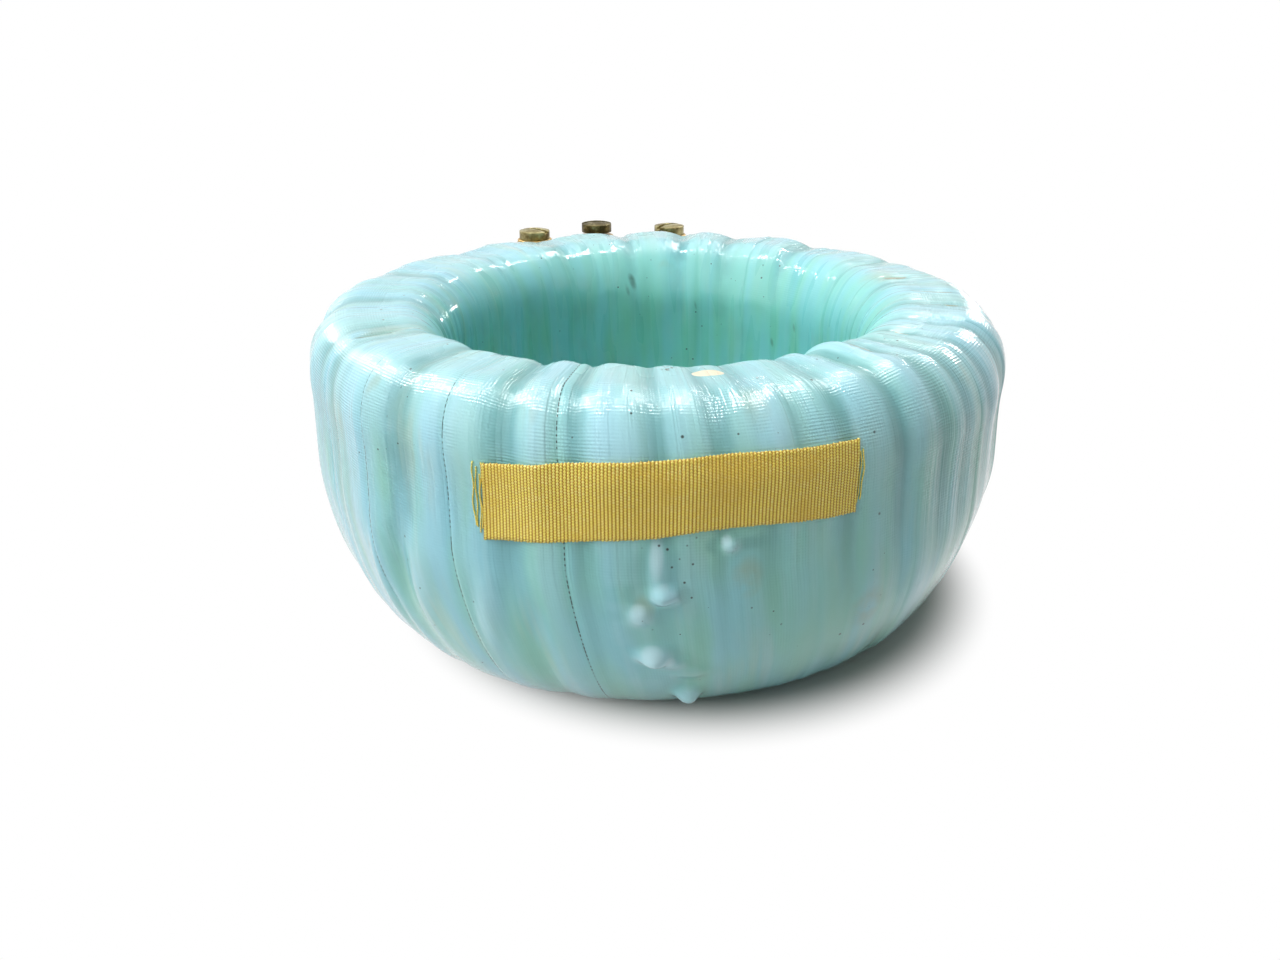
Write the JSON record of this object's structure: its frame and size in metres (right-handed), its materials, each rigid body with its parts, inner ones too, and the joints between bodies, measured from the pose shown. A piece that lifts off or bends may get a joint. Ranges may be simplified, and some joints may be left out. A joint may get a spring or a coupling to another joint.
{
  "type": "current transformer",
  "caption": "Ring-shaped current transformer with a round window, lapped varnished tape over its winding, a bare ribbon label in front and screw terminals behind.",
  "frame": {"origin": "middle of the window, on its axis at half height", "axes": "+Z along the window's axis and up, -Y towards the ribbon label, terminals towards +Y"},
  "size_m": [0.1273, 0.1391, 0.056],
  "materials": {
    "core_steel": "wound strip",
    "pressboard": "matte",
    "copper_winding": "enamelled wire",
    "cotton_tape": "woven",
    "varnished_tape": "woven tape under glossy varnish",
    "ribbon": "woven, slight sheen",
    "tab_brass": "aged",
    "copper_wire": "bare",
    "solder": "dull",
    "screw_brass": "aged, darkened"
  },
  "bodies": {
    "root": {"core": "core_steel", "core_insulation": "pressboard", "inner_winding": "copper_winding", "interlayer_tape": "cotton_tape", "outer_winding": "copper_winding", "padding_tape": "cotton_tape", "tape_wrap": "varnished_tape", "label_ribbon": "ribbon", "terminal_pad": "pressboard", "terminal_tab_1": "tab_brass", "terminal_tab_2": "tab_brass", "terminal_tab_3": "tab_brass", "lead_1": "copper_wire", "lead_2": "copper_wire", "lead_3": "copper_wire", "solder_joints": "solder", "terminal_screws": "screw_brass", "terminal_washers": "tab_brass", "terminal_nuts": "tab_brass"}
  },
  "joints": []
}
